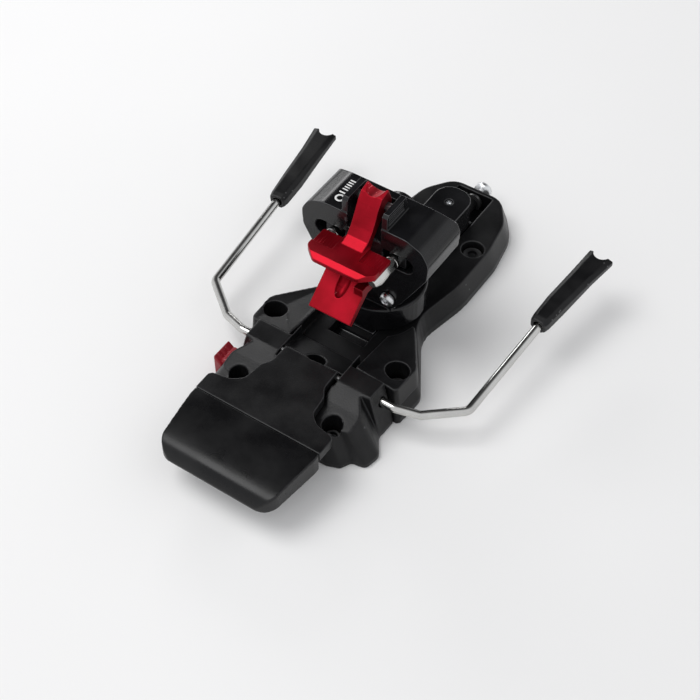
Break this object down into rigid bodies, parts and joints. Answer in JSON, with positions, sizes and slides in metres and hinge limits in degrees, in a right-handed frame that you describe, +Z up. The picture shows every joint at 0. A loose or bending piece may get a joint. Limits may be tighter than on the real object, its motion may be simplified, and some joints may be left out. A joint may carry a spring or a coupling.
{
  "type": "touring binding",
  "caption": "Heel unit of a pin-style touring ski binding with a turning turret, flip-over heel risers and a stowable ski brake.",
  "frame": {"origin": "on the turret's vertical axis, in the mounting plane of the base plate", "axes": "+Z up from the ski's top sheet, -Y toward the ski's toe and +Y toward its tail, +X to the right when looking toward the tail"},
  "size_m": [0.1252, 0.1682, 0.0666],
  "materials": {
    "nylon": "fine grained glass-filled nylon",
    "black_anodised": "satin black anodised",
    "red_anodised": "satin red anodised, bright edges",
    "red_nylon": "moulded red nylon",
    "steel": "polished hardened steel",
    "zinc": "zinc plated",
    "black_steel": "black oxide"
  },
  "bodies": {
    "base": {"base_plate": "nylon", "brake_housing": "nylon", "base_screw_front_left": "black_steel", "base_screw_front_right": "black_steel", "base_screw_rear_left": "black_steel", "base_screw_rear_right": "black_steel", "brake_screw_front_left": "black_steel", "brake_screw_front_right": "black_steel", "brake_screw_rear": "black_steel", "length_screw_clip": "black_steel", "pedal_pin_left": "steel", "pedal_pin_right": "steel", "button_spring": "steel"},
    "carriage": {"carriage": "black_anodised", "post_retaining_disc": "zinc", "post_screw": "zinc", "lateral_plunger": "steel", "lateral_spring": "steel", "tongue_set_screw": "zinc"},
    "lateral_adjuster": {"lateral_adjust_screw": "zinc"},
    "length_screw": {"length_adjust_screw": "zinc"},
    "turret": {"turret_housing": "black_anodised", "turret_bottom_plate": "zinc", "turret_screw_left": "zinc", "turret_screw_right": "zinc", "pin_pivot_left": "black_steel", "pin_pivot_right": "black_steel", "release_spring": "steel", "upper_riser_axle": "steel", "lower_riser_axle": "steel"},
    "release_adjuster": {"release_adjust_screw": "zinc"},
    "release_plunger": {"release_plunger": "steel"},
    "heel_pin_left": {"heel_pin_left": "steel"},
    "heel_pin_right": {"heel_pin_right": "steel"},
    "upper_riser": {"upper_riser": "red_anodised"},
    "lower_riser": {"lower_riser": "red_anodised"},
    "pedal": {"pedal_arm": "nylon", "pedal_pad": "nylon"},
    "brake_arm_left": {"brake_wire_left": "steel", "brake_tip_left": "nylon"},
    "brake_arm_right": {"brake_wire_right": "steel", "brake_tip_right": "nylon"},
    "release_button": {"release_button": "red_nylon"}
  },
  "joints": [
    {"name": "length_adjust", "type": "slide", "parent": "base", "child": "carriage", "axis": [0, 1, 0], "range_m": [-0.006, 0.0125]},
    {"name": "length_screw_turn", "type": "hinge", "parent": "base", "child": "length_screw", "pos_m": [0, 0.0685, 0.0072], "axis": [0, 1, 0], "range_deg": [-1800, 3660]},
    {"name": "lateral_screw_turn", "type": "hinge", "parent": "carriage", "child": "lateral_adjuster", "pos_m": [0, 0.0467, 0.016], "axis": [0, 1, 0], "continuous": true},
    {"name": "turret_turn", "type": "hinge", "parent": "carriage", "child": "turret", "pos_m": [0, 0, 0.016], "axis": [0, 0, 1], "continuous": true},
    {"name": "release_screw_turn", "type": "hinge", "parent": "turret", "child": "release_adjuster", "pos_m": [0, 0.0113, 0.0445], "axis": [0, 1, 0], "continuous": true},
    {"name": "heel_pin_right_open", "type": "hinge", "parent": "turret", "child": "heel_pin_right", "pos_m": [0.0125, -0.007, 0.046], "axis": [0, 0, 1], "range_deg": [0, 7], "stiffness_Nm_per_rad": 2},
    {"name": "heel_pin_left_open", "type": "hinge", "parent": "turret", "child": "heel_pin_left", "pos_m": [-0.0125, -0.007, 0.046], "axis": [0, 0, -1], "range_deg": [0, 7]},
    {"name": "release_plunger_slide", "type": "slide", "parent": "turret", "child": "release_plunger", "axis": [0, 1, 0], "range_m": [-0.0003, 0.0016]},
    {"name": "upper_riser_flip", "type": "hinge", "parent": "turret", "child": "upper_riser", "pos_m": [0, -0.004, 0.06], "axis": [-1, 0, 0], "range_deg": [0, 180]},
    {"name": "lower_riser_lift", "type": "hinge", "parent": "turret", "child": "lower_riser", "pos_m": [0, -0.0084, 0.0386], "axis": [-1, 0, 0], "range_deg": [0, 25]},
    {"name": "brake_pedal_lift", "type": "hinge", "parent": "base", "child": "pedal", "pos_m": [0, -0.0423, 0.0172], "axis": [-1, 0, 0], "range_deg": [0, 50]},
    {"name": "brake_arm_left_swing", "type": "hinge", "parent": "base", "child": "brake_arm_left", "pos_m": [-0.0085, -0.0394, 0.0126], "axis": [-1, 0, 0], "range_deg": [0, 50]},
    {"name": "brake_arm_right_swing", "type": "hinge", "parent": "base", "child": "brake_arm_right", "pos_m": [0.0085, -0.0394, 0.0126], "axis": [-1, 0, 0], "range_deg": [0, 50]},
    {"name": "release_button_press", "type": "slide", "parent": "base", "child": "release_button", "axis": [1, 0, 0], "range_m": [0, 0.003], "stiffness_N_per_m": 300, "springref_m": -0.002}
  ],
  "couplings": [
    {"joint": "length_screw_turn", "follows": "length_adjust", "rad_per_m": 5026.6},
    {"joint": "heel_pin_left_open", "follows": "heel_pin_right_open", "ratio": 1},
    {"joint": "release_plunger_slide", "follows": "heel_pin_right_open", "m_per_rad": 0.0074},
    {"joint": "brake_arm_left_swing", "follows": "brake_pedal_lift", "ratio": 1},
    {"joint": "brake_arm_right_swing", "follows": "brake_pedal_lift", "ratio": 1}
  ]
}
